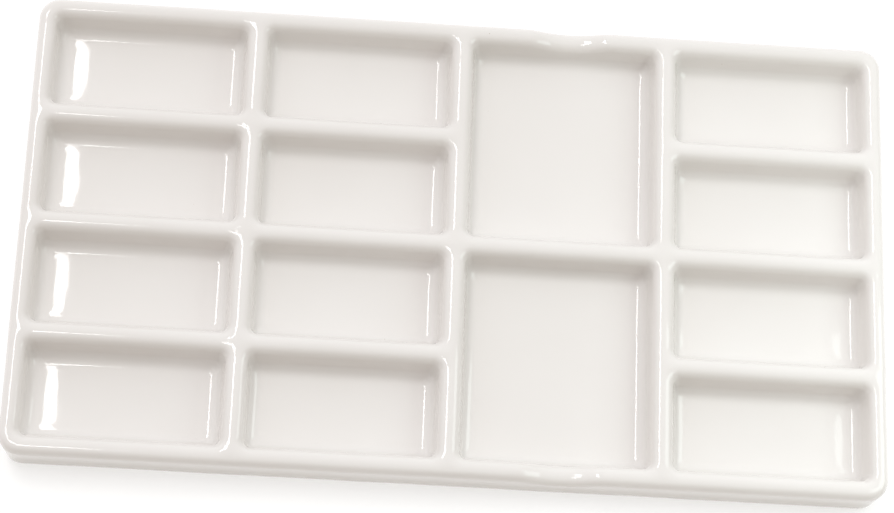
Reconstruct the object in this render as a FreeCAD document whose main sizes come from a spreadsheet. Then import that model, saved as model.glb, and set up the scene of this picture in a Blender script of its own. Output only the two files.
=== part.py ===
"""Porcelain mixing palette, in millimetres.

A rectangular slab of fired porcelain with a grid of colour wells sunk into its
top, brush rests across the back and front rims, and a shallow recess under it
that leaves a foot ring and two foot bars.  One glaze coat covers the top, the
wells and the skirt down to the glaze line.  Three more coats line the recess.

Frame: X runs along the length, Y from front to back and Z up.  The origin is
on the table, under the middle of the palette.
"""
import FreeCAD, Part
import math
import os
import Sketcher
from FreeCAD import Placement, Rotation, Vector

DIMENSIONS = [
    # the slab
    ("length", 320.0),
    ("width", 178.0),
    ("height", 18.5),
    ("corner_radius", 8.0),
    ("wall_flare", 3.0),
    ("rim_round", 2.9),
    # the wells: pitches are between divider centres, mouths are measured before the crests are
    # rounded, and the wells of the two end columns are wider by end_widening
    ("column_pitch", 77.4),
    ("end_widening", 2.3),
    ("row_pitch", 42.7),
    ("divider", 7.0),
    ("well_corner", 3.0),
    ("well_depth", 12.0),
    ("wall_draft", 10.0),
    ("crest_round", 3.8),
    ("floor_round", 4.7),
    ("floor_corner", 2.5),
    # the brush rests
    ("rest_width", 27.0),
    ("rest_depth", 3.4),
    ("rest_shift", 1.9),
    ("rest_cut", 12.0),
    ("rest_round", 9.0),
    # the underside
    ("foot_inset", 5.0),
    ("foot_bar", 7.0),
    ("recess_corner", 9.0),
    ("recess_depth", 2.2),
    ("recess_draft", 30.0),
    ("recess_round", 1.6),
    ("foot_round", 0.7),
    # the glaze
    ("glaze", 0.35),
    ("skirt_line", 1.8),
    ("recess_line", 0.9),
]
COLUMNS = 4
ROWS = 4
LONG_COLUMN = 2
BOWL_STEPS = 5
PANELS = ("left", "middle", "right")
TOLERANCE = 0.01

doc = FreeCAD.newDocument("mixing_palette")
sheet = doc.addObject("Spreadsheet::Sheet", "Sheet")


def fill_sheet():
    """Write each driving dimension into a cell and name it."""
    for row, (name, value) in enumerate(DIMENSIONS, start=1):
        sheet.set(f"A{row}", name)
        sheet.set(f"B{row}", str(value))
        sheet.setAlias(f"B{row}", name)
    doc.recompute()


def cell(name):
    """The number a named cell holds."""
    return float(getattr(sheet, name))


def origin_feature(body, role):
    """One of a body's own origin planes or axes."""
    return next(item for item in body.Origin.OriginFeatures if item.Role == role)


def new_body(label):
    body = doc.addObject("PartDesign::Body", label)
    body.Label = label
    body.Placement = Placement(Vector(0, 0, 0), Rotation())
    return body


def new_sketch(body, name, role, offset="0"):
    """A sketch on one of the body's origin planes, moved along that plane's normal."""
    sketch = body.newObject("Sketcher::SketchObject", name)
    sketch.AttachmentSupport = [(origin_feature(body, role), "")]
    sketch.MapMode = "FlatFace"
    sketch.setExpression("AttachmentOffset.Base.z", offset)
    return sketch


def bind(sketch, name, constraint, expression):
    """Add a dimension to a sketch and tie it to the sheet."""
    index = sketch.addConstraint(constraint)
    sketch.renameConstraint(index, name)
    sketch.setExpression(f"Constraints.{name}", expression)


def add_rounded_rectangle(sketch, name, middle, size, radius):
    """A rectangle with round corners; middle, size and radius are sheet expressions."""
    half_x, half_y, corner = 20.0, 12.0, 2.0
    reach_x, reach_y = half_x - corner, half_y - corner
    quarter = math.pi / 2
    corners = [(reach_x, -reach_y, 3), (reach_x, reach_y, 0), (-reach_x, reach_y, 1), (-reach_x, -reach_y, 2)]
    sides = [
        (Vector(-reach_x, -half_y, 0), Vector(reach_x, -half_y, 0)),
        (Vector(half_x, -reach_y, 0), Vector(half_x, reach_y, 0)),
        (Vector(reach_x, half_y, 0), Vector(-reach_x, half_y, 0)),
        (Vector(-half_x, reach_y, 0), Vector(-half_x, -reach_y, 0)),
    ]
    lines = [sketch.addGeometry(Part.LineSegment(start, end)) for start, end in sides]
    arcs = []
    for x, y, turn in corners:
        circle = Part.Circle(Vector(x, y, 0), Vector(0, 0, 1), corner)
        arcs.append(sketch.addGeometry(Part.ArcOfCircle(circle, turn * quarter, (turn + 1) * quarter)))
    for index in range(4):
        following = lines[(index + 1) % 4]
        sketch.addConstraint(Sketcher.Constraint("Tangent", lines[index], 2, arcs[index], 1))
        sketch.addConstraint(Sketcher.Constraint("Tangent", arcs[index], 2, following, 1))
    bottom, right, top, left = lines
    for line in (bottom, top):
        sketch.addConstraint(Sketcher.Constraint("Horizontal", line))
    for line in (right, left):
        sketch.addConstraint(Sketcher.Constraint("Vertical", line))
    for arc in arcs[1:]:
        sketch.addConstraint(Sketcher.Constraint("Equal", arcs[0], arc))
    left_x = f"{middle[0]} - ({size[0]}) / 2"
    front_y = f"{middle[1]} - ({size[1]}) / 2"
    bind(sketch, f"{name}_radius", Sketcher.Constraint("Radius", arcs[0], corner), radius)
    bind(sketch, f"{name}_x", Sketcher.Constraint("DistanceX", left, 1, right, 1, 2 * half_x), size[0])
    bind(sketch, f"{name}_y", Sketcher.Constraint("DistanceY", bottom, 1, top, 1, 2 * half_y), size[1])
    bind(sketch, f"{name}_left", Sketcher.Constraint("DistanceX", -1, 1, left, 1, -half_x), left_x)
    bind(sketch, f"{name}_front", Sketcher.Constraint("DistanceY", -1, 1, bottom, 1, -half_y), front_y)


def extrude(body, kind, name, sketch, length, draft="0", backwards=False):
    """A pad or a pocket bound to the sheet."""
    feature = body.newObject(f"PartDesign::{kind}", name)
    feature.Profile = sketch
    feature.Reversed = backwards
    feature.setExpression("Length", length)
    feature.setExpression("TaperAngle", draft)
    body.Tip = feature
    doc.recompute()
    return feature


def cut_loft(body, name, sections, ruled):
    """Cut out the solid that runs through a stack of sketches."""
    loft = body.newObject("PartDesign::SubtractiveLoft", name)
    loft.Profile = sections[0]
    loft.Sections = sections[1:]
    loft.Ruled = ruled
    body.Tip = loft
    doc.recompute()
    return loft


def repeat(body, name, originals, directions):
    """Repeat cuts along the body's axes; each direction is an axis, a whole length and a count."""
    patterns = []
    for axis, length, count in directions:
        pattern = body.newObject("PartDesign::LinearPattern", f"{name}{axis[0]}")
        pattern.Direction = (origin_feature(body, axis), [""])
        pattern.setExpression("Length", length)
        pattern.Occurrences = count
        patterns.append(pattern)
    grid = body.newObject("PartDesign::MultiTransform", name)
    grid.Originals = originals
    grid.Transformations = patterns
    body.Tip = grid
    doc.recompute()


def round_edges(body, name, wanted, radius):
    """Fillet the edges of the body's last shape that a test picks out."""
    base = body.Tip
    names = [f"Edge{index}" for index, edge in enumerate(base.Shape.Edges, start=1) if wanted(edge)]
    fillet = body.newObject("PartDesign::Fillet", name)
    fillet.Base = (base, names)
    fillet.setExpression("Radius", radius)
    body.Tip = fillet
    doc.recompute()
    return fillet


def edge_middle(edge):
    return edge.valueAt((edge.FirstParameter + edge.LastParameter) / 2)


def lies_at(edge, z):
    """True for an edge that runs at one height."""
    points = [edge_middle(edge)] + [vertex.Point for vertex in edge.Vertexes]
    return all(abs(point.z - z) < TOLERANCE for point in points)


def mouth_reach(axis):
    """How far the wells' mouths reach from the middle, along x or y."""
    if axis == "x":
        return (COLUMNS * cell("column_pitch") - cell("divider")) / 2 + cell("end_widening")
    return (ROWS * cell("row_pitch") - cell("divider")) / 2


def on_outer_wall(edge):
    """True for an edge nearer the slab's outer wall than the wells' mouths."""
    middle = edge_middle(edge)
    far_x = abs(middle.x) > (cell("length") / 2 + mouth_reach("x")) / 2
    far_y = abs(middle.y) > (cell("width") / 2 + mouth_reach("y")) / 2
    return far_x or far_y


def at_a_mouth(edge):
    """True for an edge no further out than the wells' mouths, a coat's thickness allowed."""
    middle = edge_middle(edge)
    within_x = abs(middle.x) < mouth_reach("x") + cell("glaze")
    within_y = abs(middle.y) < mouth_reach("y") + cell("glaze")
    return within_x and within_y


def pad_slab(body, top, base, skin):
    """The slab, padded down from its top outline so that the wall flares upwards."""
    shrunk = f"2 * {skin} * (tan(Sheet.wall_flare) + 1 / cos(Sheet.wall_flare))"
    outline = new_sketch(body, "Outline", "XY_Plane", top)
    size = (f"Sheet.length - {shrunk}", f"Sheet.width - {shrunk}")
    add_rounded_rectangle(outline, "slab", ("0", "0"), size, f"Sheet.corner_radius - ({shrunk}) / 2")
    extrude(body, "Pad", "Slab", outline, f"{top} - {base}", "-Sheet.wall_flare", backwards=True)


def cut_well(body, name, middle, size, skin):
    """One well: a straight drafted wall, then a bowl that turns through the floor's round."""
    draft = "Sheet.wall_draft"
    grown = f"{skin} * (1 / cos({draft}) - tan({draft}))"
    turning_drop = "(Sheet.well_depth - Sheet.floor_round)"
    turning_inset = f"({turning_drop} * tan({draft}) + Sheet.floor_round / cos({draft}))"
    mouth = new_sketch(body, f"{name}Mouth", "XY_Plane", f"Sheet.height - {skin}")
    outline = [f"{side} + 2 * {grown}" for side in size]
    add_rounded_rectangle(mouth, "mouth", middle, outline, f"Sheet.well_corner + {grown}")
    sections = [mouth]
    for step in range(BOWL_STEPS + 1):
        share = step / BOWL_STEPS
        turn = f"({draft} + {share} * (90 - {draft}))"
        reach = f"(Sheet.floor_round + {skin})"
        inset = f"({turning_inset} - {reach} * cos({turn}))"
        height = f"Sheet.height - {turning_drop} - {reach} * sin({turn})"
        corner = f"Sheet.well_corner + {share} * (Sheet.floor_corner - Sheet.well_corner) + {skin} * cos({turn})"
        section = new_sketch(body, f"{name}Section{step}", "XY_Plane", height)
        outline = [f"{side} - 2 * {inset}" for side in size]
        add_rounded_rectangle(section, f"section_{step}", middle, outline, corner)
        sections.append(section)
    wall = cut_loft(body, f"{name}Wall", sections[:2], ruled=True)
    bowl = cut_loft(body, f"{name}Bowl", sections[1:], ruled=False)
    return [wall, bowl]


def column_middle(column):
    """Sheet expression for the middle of a column of wells; the end columns reach further out."""
    middle = f"{column + (1 - COLUMNS) / 2} * Sheet.column_pitch"
    if column == 0:
        middle += " - Sheet.end_widening / 2"
    return f"({middle})"


def cut_wells(body, skin):
    """Rows of small wells, and one column of long wells that are each two rows long."""
    inner_x = "Sheet.column_pitch - Sheet.divider"
    end_x = f"{inner_x} + Sheet.end_widening"
    small_y = "Sheet.row_pitch - Sheet.divider"
    front_row = f"{(1 - ROWS) / 2} * Sheet.row_pitch"
    rows = ("Y_Axis", f"{ROWS - 1} * Sheet.row_pitch", ROWS)
    ends = ("X_Axis", f"{COLUMNS - 1} * Sheet.column_pitch + Sheet.end_widening", 2)

    end = cut_well(body, "EndWell", (column_middle(0), front_row), (end_x, small_y), skin)
    repeat(body, "EndWells", end, [ends, rows])
    for column in range(1, COLUMNS - 1):
        if column != LONG_COLUMN:
            inner = cut_well(body, f"Well{column}", (column_middle(column), front_row), (inner_x, small_y), skin)
            repeat(body, f"Wells{column}", inner, [rows])

    middle = (column_middle(LONG_COLUMN), f"{(2 - ROWS) / 2} * Sheet.row_pitch")
    large = cut_well(body, "LongWell", middle, (inner_x, "2 * Sheet.row_pitch - Sheet.divider"), skin)
    repeat(body, "LongWells", large, [("Y_Axis", f"{ROWS - 2} * Sheet.row_pitch", ROWS // 2)])


def cut_brush_rests(body, skin):
    """A round-bottomed rest across the back rim, mirrored to the front, beside the long wells."""
    profile = new_sketch(body, "RestProfile", "XZ_Plane", "Sheet.rest_cut - Sheet.width / 2")
    circle = profile.addGeometry(Part.Circle(Vector(40, 40, 0), Vector(0, 0, 1), 25))
    reach = "((Sheet.rest_width / 2) ^ 2 + Sheet.rest_depth ^ 2) / (2 * Sheet.rest_depth)"
    middle_x = f"{LONG_COLUMN + (1 - COLUMNS) / 2} * Sheet.column_pitch + Sheet.rest_shift"
    middle_z = f"Sheet.height - Sheet.rest_depth + {reach}"
    bind(profile, "rest_reach", Sketcher.Constraint("Radius", circle, 25), f"{reach} + {skin}")
    bind(profile, "rest_x", Sketcher.Constraint("DistanceX", -1, 1, circle, 3, 40), middle_x)
    bind(profile, "rest_z", Sketcher.Constraint("DistanceY", -1, 1, circle, 3, 40), middle_z)
    rest = extrude(body, "Pocket", "BackRest", profile, "2 * Sheet.rest_cut")
    front = body.newObject("PartDesign::Mirrored", "FrontRest")
    front.Originals = [rest]
    front.MirrorPlane = (origin_feature(body, "XZ_Plane"), [""])
    body.Tip = front
    doc.recompute()


def soften_top(body, coat, skin):
    """Round the rests' ends, the outer rim, the crests between wells and the well floors."""
    top = cell("height") - coat
    lowest_crest = top - cell("rest_depth") - TOLERANCE

    def ends_a_rest(edge):
        across = edge.Vertexes[0].Point - edge.Vertexes[-1].Point
        return lies_at(edge, top) and abs(across.x) < TOLERANCE and edge.Length < cell("rest_cut")

    def is_rim(edge):
        return edge_middle(edge).z > lowest_crest and on_outer_wall(edge)

    def is_crest(edge):
        return edge_middle(edge).z > lowest_crest and at_a_mouth(edge)

    round_edges(body, "RestEnds", ends_a_rest, f"Sheet.rest_round - {skin}")
    round_edges(body, "Rim", is_rim, f"Sheet.rim_round - {skin}")
    round_edges(body, "Crests", is_crest, f"Sheet.crest_round - {skin}")


def shape_top(body, base, coat=0.0, skin="0"):
    """The palette's upper surface, as a solid that stands on the height called base.

    skin is how far the surface lies under the glazed one, and coat is its value.
    """
    top = f"(Sheet.height - {skin})"
    pad_slab(body, top, base, skin)
    cut_wells(body, skin)
    cut_brush_rests(body, skin)
    soften_top(body, coat, skin)


def panel_place(index):
    """Middle and size of one recess panel where it meets the table."""
    length = f"(Sheet.length - 2 * Sheet.foot_inset - {len(PANELS) - 1} * Sheet.foot_bar) / {len(PANELS)}"
    step = index - (len(PANELS) - 1) / 2
    return (f"{step} * ({length} + Sheet.foot_bar)", "0"), (length, "Sheet.width - 2 * Sheet.foot_inset")


def make_porcelain():
    """The fired porcelain: the palette less its glaze, recessed underneath around bare feet."""
    body = new_body("porcelain_body")
    shape_top(body, "0", cell("glaze"), "Sheet.glaze")
    recess = new_sketch(body, "Recess", "XY_Plane")
    for index, name in enumerate(PANELS):
        middle, size = panel_place(index)
        add_rounded_rectangle(recess, name, middle, size, "Sheet.recess_corner")
    extrude(body, "Pocket", "UndersideRecess", recess, "Sheet.recess_depth + Sheet.glaze",
            "-Sheet.recess_draft", backwards=True)
    ceiling = cell("recess_depth") + cell("glaze")
    round_edges(body, "RecessCorners", lambda edge: lies_at(edge, ceiling), "Sheet.recess_round + Sheet.glaze")
    round_edges(body, "Feet", lambda edge: lies_at(edge, 0), "Sheet.foot_round")
    return body


def make_outer_glaze(porcelain):
    """The glaze over the top, the wells, the rim and the skirt, ending above the foot ring."""
    envelope = new_body("glazed_envelope")
    shape_top(envelope, "Sheet.skirt_line")
    opening = new_sketch(envelope, "Opening", "XY_Plane", "Sheet.skirt_line")
    size = ("Sheet.length - 2 * Sheet.foot_inset", "Sheet.width - 2 * Sheet.foot_inset")
    add_rounded_rectangle(opening, "opening", ("0", "0"), size, "Sheet.recess_corner")
    extrude(envelope, "Pocket", "UndersideOpening", opening, "Sheet.recess_depth", backwards=True)
    coat = doc.addObject("Part::Cut", "outer_glaze")
    coat.Label = "outer_glaze"
    coat.Base = envelope
    coat.Tool = porcelain
    doc.recompute()
    return coat


def make_underside_glaze(index, name):
    """A thin coat lining one panel of the recess, with its open side down."""
    body = new_body(f"underside_glaze_{name}")
    middle, size = panel_place(index)
    lean = "tan(Sheet.recess_draft)"
    narrowing = f"Sheet.recess_line * {lean}"
    outline = new_sketch(body, "Outline", "XY_Plane", "Sheet.recess_line")
    outer = [f"{side} - 2 * {narrowing}" for side in size]
    add_rounded_rectangle(outline, "outer", middle, outer, f"Sheet.recess_corner - {narrowing}")
    extrude(body, "Pad", "Plug", outline, "Sheet.recess_depth + Sheet.glaze - Sheet.recess_line",
            "-Sheet.recess_draft")
    ceiling = cell("recess_depth") + cell("glaze")
    round_edges(body, "PlugCorners", lambda edge: lies_at(edge, ceiling), "Sheet.recess_round + Sheet.glaze")

    lining = f"{narrowing} + Sheet.glaze / cos(Sheet.recess_draft)"
    hollow = new_sketch(body, "Hollow", "XY_Plane", "Sheet.recess_line")
    inner = [f"{side} - 2 * ({lining})" for side in size]
    add_rounded_rectangle(hollow, "inner", middle, inner, f"Sheet.recess_corner - ({lining})")
    extrude(body, "Pocket", "Inside", hollow, "Sheet.recess_depth - Sheet.recess_line",
            "-Sheet.recess_draft", backwards=True)
    round_edges(body, "InsideCorners", lambda edge: lies_at(edge, cell("recess_depth")), "Sheet.recess_round")
    return body


def check_document(parts):
    """Stop if any object failed or any sub-part is not a sound solid."""
    for item in doc.Objects:
        if "Invalid" in item.State or "Error" in item.State:
            raise RuntimeError(f"{item.Name} failed: {item.State}")
    for part in parts:
        shape = part.Shape
        if shape.isNull() or not shape.isValid() or len(shape.Solids) != 1:
            raise RuntimeError(f"{part.Label} is not one valid solid")


def export_parts(parts):
    os.makedirs("parts", exist_ok=True)
    for part in parts:
        part.Shape.exportStep(os.path.join("parts", f"{part.Label}.step"))
        box = part.Shape.BoundBox
        print(f"{part.Label}: {box.XLength:.2f} x {box.YLength:.2f} x {box.ZLength:.2f} mm, "
              f"{part.Shape.Volume / 1000:.1f} cm3")


fill_sheet()
porcelain_body = make_porcelain()
outer_glaze = make_outer_glaze(porcelain_body)
underside_glazes = [make_underside_glaze(index, name) for index, name in enumerate(PANELS)]
PARTS = [porcelain_body, outer_glaze, *underside_glazes]
check_document(PARTS)
export_parts(PARTS)
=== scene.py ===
"""Looks of the porcelain mixing palette.

The glaze is built here as one smooth skin: wells that turn softly into their
floors, crests that the glaze has pulled round, a rim, and an outer wall that ends
above the bare foot ring, painted darker towards its glaze line as shade.  The fired
porcelain and the underside glaze are the CAD solids with materials of their own.
Sizes in this file are millimetres.
"""
import math

import bpy
from mathutils import Matrix, Vector, noise
from mathutils.geometry import delaunay_2d_cdt


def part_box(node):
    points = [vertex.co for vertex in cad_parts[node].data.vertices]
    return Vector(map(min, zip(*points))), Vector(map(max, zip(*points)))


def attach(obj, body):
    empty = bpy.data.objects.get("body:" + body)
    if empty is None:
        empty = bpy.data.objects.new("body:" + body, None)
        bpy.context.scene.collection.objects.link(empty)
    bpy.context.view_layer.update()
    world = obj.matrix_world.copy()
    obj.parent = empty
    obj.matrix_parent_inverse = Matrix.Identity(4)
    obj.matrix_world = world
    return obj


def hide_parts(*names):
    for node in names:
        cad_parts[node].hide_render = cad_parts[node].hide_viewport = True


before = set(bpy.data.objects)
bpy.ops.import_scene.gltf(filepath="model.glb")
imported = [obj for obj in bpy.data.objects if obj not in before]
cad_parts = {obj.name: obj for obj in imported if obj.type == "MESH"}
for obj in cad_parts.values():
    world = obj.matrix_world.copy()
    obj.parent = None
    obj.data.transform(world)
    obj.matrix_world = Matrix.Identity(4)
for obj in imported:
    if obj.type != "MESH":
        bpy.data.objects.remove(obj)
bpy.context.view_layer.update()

MM = 0.001
GLAZE_LOW, GLAZE_HIGH = (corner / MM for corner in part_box("outer_glaze"))
TOP = GLAZE_HIGH.z
SKIRT_LINE = GLAZE_LOW.z

# The slab and its wells, as the CAD model has them before their edges are rounded.
LENGTH, WIDTH = 320.0, 178.0
CORNER_RADIUS = 8.0
WALL_FLARE = math.radians(3.0)
RIM_ROUND = 2.9
COLUMN_PITCH, ROW_PITCH = 77.4, 42.7
END_WIDENING = 2.3
DIVIDER = 7.0
WELL_CORNER, FLOOR_CORNER = 3.0, 2.5
WELL_DEPTH = 12.0
WALL_DRAFT = math.radians(10.0)
CREST_ROUND, FLOOR_ROUND = 3.8, 4.7
COLUMNS, ROWS, LONG_COLUMN = 4, 4, 2
REST_WIDTH, REST_DEPTH, REST_ROUND = 27.0, 3.4, 9.0
REST_X = (LONG_COLUMN + (1 - COLUMNS) / 2) * COLUMN_PITCH + 1.9

# What the glaze does to that shape.
GLAZE_THICKNESS = 0.3
CREST_LEAN = math.radians(12.0)
CROSSING_REACH = 1.9
FLOOR_CROWN, CROWN_POWER = 0.42, 6
CROWN_END_SHARE, CROWN_MIDDLE_SHARE = 0.75, 0.35
WAVER, WAVER_SPAN, WAVER_FADE, WAVER_SEED = 0.10, 22.0, 4.0, 3
# Painted shade on the outer wall: how far in from the slab's edge it reaches, and over what depth below
# the rim's round it darkens fully.
WALL_SHADE_REACH, WALL_SHADE_FADE = 2.4, 9.0
REST_REACH, REST_FADE = 12.0, 9.0

# How finely the skin is divided.
CORNER_STEPS = 8
SIDE_STEP_X, SIDE_STEP_Y = 3.6, 4.2
CREST_RINGS, BOWL_RINGS, FLOOR_RINGS, WALL_RINGS = 8, 9, 9, 6
FLOOR_MIDDLE = 0.6
CREST_STEP, CREST_ROOM, CREST_APART = 2.0, 0.45, 0.8944
CROSSING_POINTS = 8
TOUCHING = 0.02

# The camera, at the photograph's viewing angle.
SENSOR_WIDTH, LENS = 36.0, 104.7
CAMERA_AZIMUTH = math.radians(9.07)
CAMERA_ELEVATION = math.radians(69.93)
CAMERA_LEAN = math.radians(-11.91)
CAMERA_DISTANCE = 954.5
CAMERA_TARGET = Vector((-3.1, -5.7, TOP))
NEAR_CLIP, FAR_CLIP = 50.0, 20000.0

# The floor and the light: a dim warm room, brighter on one side, the pale floor's own
# glow, and soft lamps as name, place, turn, size, power and, unless white, colour.
FLOOR_HALF = 3000.0
ROOM_LIGHT = 1.0
ROOM_COLOUR = (0.31, 0.262, 0.212)
BRIGHT_COLOUR = (0.95, 0.945, 0.955)
BRIGHT_SIDE = (-0.25, 0.65, 0.7)
BRIGHT_FROM, BRIGHT_TO = -0.35, 0.95
FLOOR_GLOW = 0.54
LAMPS = [
    ("window_near", (-402, 111, 1430), (0, 0, 135), (440, 150), 1.65),
    ("window_far", (-501, 530, 1440), (0, 0, 0), (278, 460), 3.75),
    ("right_fill", (320, -30, 240), (0, 40, 0), (220, 220), 0.33, (0.87, 1.0, 0.98)),
]


def spread(first, last, steps):
    """Evenly spaced values from first to last, both included."""
    return [first + (last - first) * step / steps for step in range(steps + 1)]


def ease(value):
    """A smooth step from 0 to 1."""
    value = min(max(value, 0.0), 1.0)
    return value * value * (3 - 2 * value)


class Plate:
    """A rectangle with round corners, seen from above: middle and half sizes."""

    def __init__(self, x, y, half_x, half_y, corner):
        self.x, self.y = x, y
        self.half_x, self.half_y = half_x, half_y
        self.corner = corner
        self.steps_x = max(2, round(2 * half_x / SIDE_STEP_X))
        self.steps_y = max(2, round(2 * half_y / SIDE_STEP_Y))

    def ring(self, inset, corner):
        """Points round the outline, moved inwards by inset; every ring has the same count."""
        reach_x = self.half_x - inset - corner
        reach_y = self.half_y - inset - corner
        signs = [(1, -1), (1, 1), (-1, 1), (-1, -1)]
        points = []
        for index, (side_x, side_y) in enumerate(signs):
            for angle in spread(index - 1, index, CORNER_STEPS):
                turn = angle * math.pi / 2
                x = self.x + side_x * reach_x + corner * math.cos(turn)
                y = self.y + side_y * reach_y + corner * math.sin(turn)
                points.append((x, y))
            next_x, next_y = signs[(index + 1) % 4]
            turn = index * math.pi / 2
            end = (self.x + next_x * reach_x + corner * math.cos(turn),
                   self.y + next_y * reach_y + corner * math.sin(turn))
            start = points[-1]
            steps = self.steps_y if index % 2 == 0 else self.steps_x
            for step in range(1, steps):
                share = step / steps
                x = start[0] + (end[0] - start[0]) * share
                y = start[1] + (end[1] - start[1]) * share
                points.append((x, y))
        return points

    def distance(self, x, y, inset=0.0):
        """Signed distance outside the outline moved inwards by inset."""
        corner = max(self.corner - inset, 0.1)
        over_x = abs(x - self.x) - (self.half_x - inset - corner)
        over_y = abs(y - self.y) - (self.half_y - inset - corner)
        outside = math.hypot(max(over_x, 0.0), max(over_y, 0.0))
        return outside + min(max(over_x, over_y), 0.0) - corner


def make_wells():
    """Every well's outline at its mouth."""
    wells = []
    for column in range(COLUMNS):
        widening = END_WIDENING if column in (0, COLUMNS - 1) else 0.0
        place = column + (1 - COLUMNS) / 2
        x = place * COLUMN_PITCH + math.copysign(widening / 2, place)
        half_x = (COLUMN_PITCH - DIVIDER + widening) / 2
        rows_each = 2 if column == LONG_COLUMN else 1
        count = ROWS // rows_each
        pitch = ROW_PITCH * rows_each
        for row in range(count):
            y = (row + (1 - count) / 2) * pitch
            wells.append(Plate(x, y, half_x, (pitch - DIVIDER) / 2, WELL_CORNER))
    return wells


WELLS = make_wells()
SLAB = Plate(0, 0, LENGTH / 2, WIDTH / 2, CORNER_RADIUS)

# Where the crest's and the rim's rounds begin, measured inwards from the sharp edges.
CREST_TANGENT = -CREST_ROUND * math.tan((math.pi / 2 - WALL_DRAFT) / 2)
CREST_START = CREST_TANGENT + CREST_ROUND * math.sin(CREST_LEAN)
CREST_LOW = -CREST_ROUND * (1 - math.cos(CREST_LEAN))
RIM_CENTRE = RIM_ROUND * (math.tan(WALL_FLARE) + 1 / math.cos(WALL_FLARE))
RIM_START = RIM_CENTRE - RIM_ROUND * math.sin(CREST_LEAN)

# Where a well's wall turns into its floor, and where that turn ends.
TURNING_DEPTH = WELL_DEPTH - FLOOR_ROUND
FLOOR_INSET = TURNING_DEPTH * math.tan(WALL_DRAFT) + FLOOR_ROUND / math.cos(WALL_DRAFT)

# The middle lines of the rim's crest, on the right and at the back.
MOUTH_X = (COLUMNS * COLUMN_PITCH - DIVIDER) / 2 + END_WIDENING
MOUTH_Y = (ROWS * ROW_PITCH - DIVIDER) / 2
RIM_X = (LENGTH / 2 - RIM_START + MOUTH_X - CREST_START) / 2
RIM_Y = (WIDTH / 2 - RIM_START + MOUTH_Y - CREST_START) / 2


def well_profile():
    """Inset, height and corner radius of each ring from the crest down to the floor."""
    profile = []
    for turn in spread(CREST_LEAN, math.pi / 2 - WALL_DRAFT, CREST_RINGS):
        inset = CREST_TANGENT + CREST_ROUND * math.sin(turn)
        profile.append((inset, -CREST_ROUND * (1 - math.cos(turn)), WELL_CORNER - min(inset, 0.0)))
    bowl = []
    for turn in spread(WALL_DRAFT, math.pi / 2, BOWL_RINGS):
        share = (turn - WALL_DRAFT) / (math.pi / 2 - WALL_DRAFT)
        inset = FLOOR_INSET - FLOOR_ROUND * math.cos(turn)
        height = -TURNING_DEPTH - FLOOR_ROUND * math.sin(turn)
        bowl.append((inset, height, WELL_CORNER + share * (FLOOR_CORNER - WELL_CORNER)))
    last, first = profile[-1], bowl[0]
    for share in (1 / 3, 2 / 3):
        profile.append(tuple(a + (b - a) * share for a, b in zip(last, first)))
    return profile + bowl


def wall_profile():
    """Inset and height of each ring from the rim's crest down to the glaze line."""
    profile = []
    for turn in spread(CREST_LEAN, math.pi / 2 + WALL_FLARE, CREST_RINGS):
        profile.append((RIM_CENTRE - RIM_ROUND * math.sin(turn), -RIM_ROUND * (1 - math.cos(turn))))
    for depth in spread(-profile[-1][1], TOP - SKIRT_LINE, WALL_RINGS)[1:]:
        profile.append((depth * math.tan(WALL_FLARE), -depth))
    return profile


def crest_rooms(x, y):
    """Distances from a point on the crests to the rounds that start down every wall."""
    rooms = [well.distance(x, y, CREST_START) for well in WELLS]
    return rooms + [-SLAB.distance(x, y, RIM_START)]


def crest_height(x, y):
    """The crests are softly domed: highest where the rounds beside them are furthest away."""
    crowding = math.sqrt(sum(1 / max(room, TOUCHING) ** 2 for room in crest_rooms(x, y)))
    return CREST_LOW + math.tan(CREST_LEAN) / crowding


def rest_drop(x):
    """How far a brush rest lowers the rim: a round groove whose ends are eased by smaller rounds."""
    reach = ((REST_WIDTH / 2) ** 2 + REST_DEPTH ** 2) / (2 * REST_DEPTH)
    slope = math.acos((reach - REST_DEPTH + REST_ROUND) / (reach + REST_ROUND))
    joined = (reach + REST_ROUND) * math.sin(slope)
    away = abs(x - REST_X)
    if away >= joined:
        return 0.0
    if away > reach * math.sin(slope):
        return REST_ROUND - math.sqrt(REST_ROUND ** 2 - (joined - away) ** 2)
    return REST_DEPTH - reach + math.sqrt(reach ** 2 - away ** 2)


def settle(x, y, height):
    """Where the glaze lies once the brush rests and the wavering of a fired surface are in it."""
    depth = -height
    if abs(y) > WIDTH / 2 - REST_REACH:
        height -= rest_drop(x) * ease(1 - depth / REST_FADE)
    place = Vector((x, y, height)) / WAVER_SPAN
    waver = noise.noise_vector(place) * WAVER
    lift = min(1.0, max(0.0, (TOP + height - SKIRT_LINE) / WAVER_FADE))
    return Vector((x + waver.x, y + waver.y, TOP + height + waver.z * lift)) * MM


def wall_shade_share(point):
    """How far down the outer wall a point is, as its share of painted shade: 0 at the rim, 1 near the
    glaze line.
    """
    if SLAB.distance(point.x, point.y) < -WALL_SHADE_REACH:
        return 0.0
    return ease((TOP - point.z - RIM_ROUND) / WALL_SHADE_FADE)


class Skin:
    """Vertices and faces of the glaze as they are laid down."""

    def __init__(self):
        self.points, self.faces = [], []

    def lay(self, outline, height):
        """Add a ring of points and return their numbers."""
        first = len(self.points)
        self.points += [settle(x, y, height) for x, y in outline]
        return list(range(first, len(self.points)))

    def bridge(self, outer, inner):
        """Quads between two rings, seen from outside the glaze."""
        count = len(outer)
        for index in range(count):
            after = (index + 1) % count
            self.faces.append((outer[index], outer[after], inner[after], inner[index]))

    def object(self, name):
        mesh = bpy.data.meshes.new(name)
        mesh.from_pydata(self.points, [], self.faces)
        mesh.validate()
        mesh.shade_smooth()
        # Painted shade: each point's share of the darker colour down the outer wall.
        low_wall_shade = mesh.attributes.new("low_wall_shade", "FLOAT", "POINT")
        low_wall_shade.data.foreach_set("value", [wall_shade_share(point / MM) for point in self.points])
        made = bpy.data.objects.new(name, mesh)
        bpy.context.scene.collection.objects.link(made)
        return made


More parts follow.
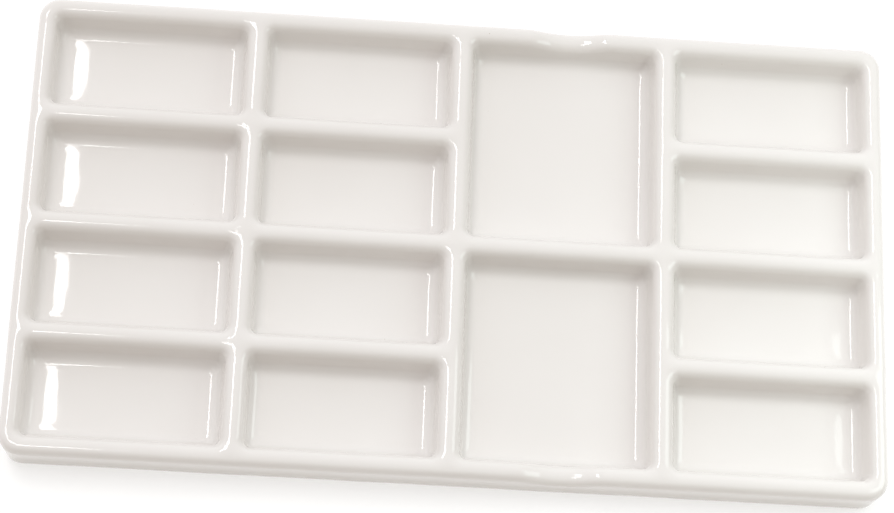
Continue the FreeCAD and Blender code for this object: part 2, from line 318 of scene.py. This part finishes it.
def crown(well, x, y, height):
    """A well's floor is a little crowned from left to right; the crown dies away up the walls."""
    across = min(1.0, abs(x - well.x) / (well.half_x - FLOOR_INSET))
    along = min(1.0, abs(y - well.y) / (well.half_y - FLOOR_INSET))
    share = CROWN_END_SHARE + CROWN_MIDDLE_SHARE * (1 - along ** 2)
    fade = ease((-height - TURNING_DEPTH) / FLOOR_ROUND)
    return FLOOR_CROWN * (1 - across ** CROWN_POWER) * fade * share


def lay_well(skin, well):
    """One well from its crest to the middle of its floor; returns the crest ring."""
    levels = [(well.ring(inset, corner), height) for inset, height, corner in well_profile()]
    edge = levels[-1][0]
    for step in range(1, FLOOR_RINGS + 1):
        share = 1 - step / (FLOOR_RINGS + FLOOR_MIDDLE)
        shrunk = [(well.x + (x - well.x) * share, well.y + (y - well.y) * share) for x, y in edge]
        levels.append((shrunk, -WELL_DEPTH))
    rings = []
    for outline, height in levels:
        first = len(skin.points)
        skin.points += [settle(x, y, height + crown(well, x, y, height)) for x, y in outline]
        rings.append(list(range(first, len(skin.points))))
    for outer, inner in zip(rings, rings[1:]):
        skin.bridge(outer, inner)
    skin.faces.append(tuple(rings[-1]))
    return rings[0]


def lay_wall(skin):
    """The rim's round and the outer wall; returns the rim's crest ring."""
    rings = []
    for inset, height in wall_profile():
        rings.append(skin.lay(SLAB.ring(inset, CORNER_RADIUS - inset), height))
    for outer, inner in zip(rings[1:], rings):
        skin.bridge(outer, inner)
    return rings[0]


def crest_lines(count, pitch, rim):
    """The middles of the dividers across one direction, with the rim's at both ends."""
    inner = [(line - count / 2) * pitch for line in range(1, count)]
    return [-rim, *inner, rim]


def crest_points():
    """Points along the middle of every divider and of the rim, and round every crossing."""
    lines_x = crest_lines(COLUMNS, COLUMN_PITCH, RIM_X)
    lines_y = crest_lines(ROWS, ROW_PITCH, RIM_Y)
    points = []
    for y in lines_y:
        points += [(x, y) for x in spread(-RIM_X, RIM_X, round(2 * RIM_X / CREST_STEP))]
    for x in lines_x:
        points += [(x, y) for y in spread(-RIM_Y, RIM_Y, round(2 * RIM_Y / CREST_STEP))]
    for x in lines_x:
        for y in lines_y:
            for turn in spread(0.0, 2 * math.pi, CROSSING_POINTS)[:-1]:
                points.append((x + CROSSING_REACH * math.cos(turn), y + CROSSING_REACH * math.sin(turn)))
    return points


def lay_crests(skin, rim, mouths):
    """The web of dividers between the rim's ring and the wells' rings."""
    loops = [SLAB.ring(RIM_START, CORNER_RADIUS - RIM_START)]
    loops += [well.ring(CREST_START, WELL_CORNER - CREST_START) for well in WELLS]
    numbers = [number for ring in [rim, *mouths] for number in ring]
    flat, edges = [], []
    for loop in loops:
        first, count = len(flat), len(loop)
        flat += loop
        edges += [(first + index, first + (index + 1) % count) for index in range(count)]
    fixed = len(flat)
    kept = []
    for x, y in crest_points():
        if min(crest_rooms(x, y)) < CREST_ROOM:
            continue
        if all(math.dist((x, y), other) > CREST_APART for other in kept):
            kept.append((x, y))
    flat += kept
    corners = [Vector(point) for point in flat]
    places, _, triangles, origins, _, _ = delaunay_2d_cdt(corners, edges, [], 0, 1e-5, True)
    names = []
    for place, origin in zip(places, origins):
        source = origin[0]
        if source < fixed:
            names.append(numbers[source])
        else:
            names.append(len(skin.points))
            skin.points.append(settle(place.x, place.y, crest_height(place.x, place.y)))
    for triangle in triangles:
        x = sum(places[index].x for index in triangle) / 3
        y = sum(places[index].y for index in triangle) / 3
        if min(crest_rooms(x, y)) > -TOUCHING:
            skin.faces.append(tuple(names[index] for index in triangle))


def make_glaze():
    """The whole glaze as one closed skin, in place of the CAD model's outer glaze."""
    noise.seed_set(WAVER_SEED)
    skin = Skin()
    rim = lay_wall(skin)
    mouths = [lay_well(skin, well) for well in WELLS]
    lay_crests(skin, rim, mouths)
    glaze = skin.object("outer_glaze_skin")
    shell = glaze.modifiers.new("Thickness", "SOLIDIFY")
    shell.thickness = GLAZE_THICKNESS * MM
    shell.offset = -1.0
    return glaze


class Nodes:
    """A material's node tree, with short ways to add and join nodes."""

    def __init__(self, name):
        self.material = bpy.data.materials.new(name)
        self.material.use_nodes = True
        self.tree = self.material.node_tree
        self.shader = self.tree.nodes["Principled BSDF"]

    def add(self, kind, **settings):
        node = self.tree.nodes.new(f"ShaderNode{kind}")
        for key, value in settings.items():
            setattr(node, key, value)
        return node

    def join(self, source, target):
        self.tree.links.new(source, target)

    def set(self, **values):
        """Constants on the shader's own sockets; an underscore stands for a space."""
        for key, value in values.items():
            self.shader.inputs[key.replace("_", " ")].default_value = value

    def place(self):
        """Positions on the object, in millimetres."""
        source = self.add("TexCoord")
        scale = self.add("VectorMath", operation="SCALE")
        scale.inputs["Scale"].default_value = 1 / MM
        self.join(source.outputs["Object"], scale.inputs[0])
        return scale.outputs[0]

    def noise(self, span, detail=3.0, rough=0.5):
        """Smooth noise whose features are about span millimetres across."""
        node = self.add("TexNoise")
        node.inputs["Scale"].default_value = 1 / span
        node.inputs["Detail"].default_value = detail
        node.inputs["Roughness"].default_value = rough
        self.join(self.place(), node.inputs["Vector"])
        return node.outputs["Fac"]

    def remap(self, value, low, high, new_low, new_high):
        node = self.add("MapRange", clamp=True)
        for socket, number in zip(node.inputs[1:5], (low, high, new_low, new_high)):
            socket.default_value = number
        self.join(value, node.inputs["Value"])
        return node.outputs["Result"]

    def mix(self, share, first, second):
        """A colour between first and second; either may be a colour or a socket."""
        node = self.add("Mix", data_type="RGBA")
        self.join(share, node.inputs["Factor"])
        for socket, colour in ((node.inputs[6], first), (node.inputs[7], second)):
            if isinstance(colour, tuple):
                socket.default_value = (*colour, 1.0)
            else:
                self.join(colour, socket)
        return node.outputs[2]

    def bump(self, layers):
        """Bumps chained one over the other; each layer is a height in millimetres and its strength."""
        normal = None
        for height, size in layers:
            node = self.add("Bump")
            node.inputs["Distance"].default_value = size * MM
            self.join(height, node.inputs["Height"])
            if normal:
                self.join(normal, node.inputs["Normal"])
            normal = node.outputs["Normal"]
        return normal

    def specks(self, span, size, density):
        """Round specks: 1 in the middle of a few cells of a scattered grid, 0 elsewhere."""
        cells = self.add("TexVoronoi")
        cells.inputs["Scale"].default_value = 1 / span
        self.join(self.place(), cells.inputs["Vector"])
        near = self.remap(cells.outputs["Distance"], size * 0.6, size, 1.0, 0.0)
        split = self.add("SeparateColor")
        self.join(cells.outputs["Color"], split.inputs[0])
        chosen = self.remap(split.outputs[0], density, density + 0.01, 1.0, 0.0)
        both = self.add("Math", operation="MULTIPLY")
        self.join(near, both.inputs[0])
        self.join(chosen, both.inputs[1])
        return both.outputs[0]


def glaze_material(name, light, deep, speck, low_wall_shade=None):
    """Clear, glossy glaze over white porcelain, faintly uneven in colour and in level.

    Where a low wall shade colour is given, it is painted shade that comes in down the outer wall,
    darkest near the glaze line.
    """
    nodes = Nodes(name)
    tone = nodes.mix(nodes.remap(nodes.noise(60.0), 0.35, 0.65, 0.0, 1.0), light, deep)
    tone = nodes.mix(nodes.specks(9.0, 0.03, 0.35), tone, speck)
    # Painted shade down the outer wall, mixed in by each point's share.
    if low_wall_shade:
        painted_shade = nodes.add("Attribute", attribute_name="low_wall_shade")
        tone = nodes.mix(painted_shade.outputs["Fac"], tone, low_wall_shade)
    nodes.join(tone, nodes.shader.inputs["Base Color"])
    nodes.join(nodes.remap(nodes.noise(14.0), 0.3, 0.7, 0.04, 0.08), nodes.shader.inputs["Roughness"])
    nodes.set(IOR=1.5, Coat_Weight=0.25, Coat_Roughness=0.03, Coat_IOR=1.5)
    waves = nodes.noise(9.0, detail=1.0)
    orange_peel = nodes.noise(1.6, detail=2.0)
    pinholes = nodes.specks(13.0, 0.02, 0.3)
    relief = nodes.bump([(waves, 0.05), (orange_peel, 0.004), (pinholes, -0.05)])
    nodes.join(relief, nodes.shader.inputs["Normal"])
    return nodes.material


def bare_material():
    """Unglazed porcelain: matt and faintly grainy, with a warmer cast and kiln specks."""
    nodes = Nodes("bare_porcelain")
    patches = nodes.remap(nodes.noise(25.0), 0.35, 0.65, 0.0, 1.0)
    tone = nodes.mix(patches, (0.70, 0.67, 0.62), (0.64, 0.60, 0.545))
    tone = nodes.mix(nodes.specks(5.0, 0.05, 0.3), tone, (0.45, 0.36, 0.27))
    nodes.join(tone, nodes.shader.inputs["Base Color"])
    nodes.join(nodes.remap(nodes.noise(3.0), 0.3, 0.7, 0.55, 0.75), nodes.shader.inputs["Roughness"])
    nodes.set(IOR=1.45)
    grain = nodes.noise(0.35, detail=4.0)
    drag = nodes.noise(6.0, detail=2.0)
    nodes.join(nodes.bump([(grain, 0.03), (drag, 0.05)]), nodes.shader.inputs["Normal"])
    return nodes.material


def dress(piece, material):
    piece.data.materials.clear()
    piece.data.materials.append(material)


def add_floor():
    half = FLOOR_HALF * MM
    corners = [(-half, -half, 0), (half, -half, 0), (half, half, 0), (-half, half, 0)]
    mesh = bpy.data.meshes.new("floor")
    mesh.from_pydata(corners, [], [(0, 1, 2, 3)])
    floor = bpy.data.objects.new("floor", mesh)
    bpy.context.scene.collection.objects.link(floor)
    nodes = Nodes("floor")
    tone = nodes.mix(nodes.noise(400.0), (0.55, 0.55, 0.55), (0.57, 0.57, 0.57))
    nodes.join(tone, nodes.shader.inputs["Base Color"])
    nodes.set(Roughness=0.9, Emission_Color=(1.0, 1.0, 1.0, 1.0), Emission_Strength=FLOOR_GLOW)
    dress(floor, nodes.material)


def add_lamp(name, place, turn, size, power, colour=(1.0, 1.0, 1.0)):
    """A soft rectangular lamp; place and size are in millimetres, turn in degrees about X, Y and Z."""
    light = bpy.data.lights.new(name, "AREA")
    light.shape = "RECTANGLE"
    light.size, light.size_y = size[0] * MM, size[1] * MM
    light.energy, light.color = power, colour
    lamp = bpy.data.objects.new(name, light)
    lamp.location = Vector(place) * MM
    lamp.rotation_euler = [math.radians(angle) for angle in turn]
    bpy.context.scene.collection.objects.link(lamp)


def light_room():
    """A warm, dim room with a broad bright sky side, and the soft lamps."""
    world = bpy.data.worlds.new("room")
    world.use_nodes = True
    tree = world.node_tree
    place = tree.nodes.new("ShaderNodeTexCoord")
    facing = tree.nodes.new("ShaderNodeVectorMath")
    facing.operation = "DOT_PRODUCT"
    facing.inputs[1].default_value = Vector(BRIGHT_SIDE).normalized()
    tree.links.new(place.outputs["Generated"], facing.inputs[0])
    ramp = tree.nodes.new("ShaderNodeMapRange")
    ramp.interpolation_type = "SMOOTHSTEP"
    for socket, number in zip(ramp.inputs[1:5], (BRIGHT_FROM, BRIGHT_TO, 0.0, 1.0)):
        socket.default_value = number
    tree.links.new(facing.outputs["Value"], ramp.inputs["Value"])
    tint = tree.nodes.new("ShaderNodeMix")
    tint.data_type = "RGBA"
    tree.links.new(ramp.outputs["Result"], tint.inputs["Factor"])
    tint.inputs[6].default_value = (*ROOM_COLOUR, 1.0)
    tint.inputs[7].default_value = (*BRIGHT_COLOUR, 1.0)
    background = tree.nodes["Background"]
    tree.links.new(tint.outputs[2], background.inputs["Color"])
    background.inputs["Strength"].default_value = ROOM_LIGHT
    bpy.context.scene.world = world
    for lamp in LAMPS:
        add_lamp(*lamp)


def add_camera():
    camera = bpy.data.objects.new("camera", bpy.data.cameras.new("camera"))
    camera.data.sensor_fit = "HORIZONTAL"
    camera.data.sensor_width, camera.data.lens = SENSOR_WIDTH, LENS
    camera.data.clip_start, camera.data.clip_end = NEAR_CLIP * MM, FAR_CLIP * MM
    level = math.cos(CAMERA_ELEVATION)
    back_x = -level * math.sin(CAMERA_AZIMUTH)
    back_y = -level * math.cos(CAMERA_AZIMUTH)
    back = Vector((back_x, back_y, math.sin(CAMERA_ELEVATION)))
    right = Vector((0, 0, 1)).cross(back).normalized()
    up = back.cross(right)
    lean_right = right * math.cos(CAMERA_LEAN) - up * math.sin(CAMERA_LEAN)
    lean_up = up * math.cos(CAMERA_LEAN) + right * math.sin(CAMERA_LEAN)
    turn = Matrix((lean_right, lean_up, back)).transposed().to_4x4()
    camera.matrix_world = Matrix.Translation((CAMERA_TARGET + back * CAMERA_DISTANCE) * MM) @ turn
    bpy.context.scene.collection.objects.link(camera)
    bpy.context.scene.camera = camera


def make_palette():
    glaze = make_glaze()
    light, deep, speck = (0.845, 0.818, 0.794), (0.83, 0.801, 0.775), (0.60, 0.55, 0.48)
    # The last colour is painted shade for the lower outer wall.
    dress(glaze, glaze_material("white_glaze", light, deep, speck, low_wall_shade=(0.64, 0.60, 0.555)))
    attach(glaze, "root")
    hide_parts("outer_glaze")
    dress(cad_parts["porcelain_body"], bare_material())
    light, deep, speck = (0.80, 0.79, 0.77), (0.77, 0.755, 0.73), (0.55, 0.48, 0.40)
    underside = glaze_material("underside_glaze", light, deep, speck)
    for name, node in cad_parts.items():
        if name.startswith("underside_glaze"):
            dress(node, underside)


make_palette()
add_floor()
light_room()
add_camera()
bpy.context.scene.view_settings.view_transform = "Standard"
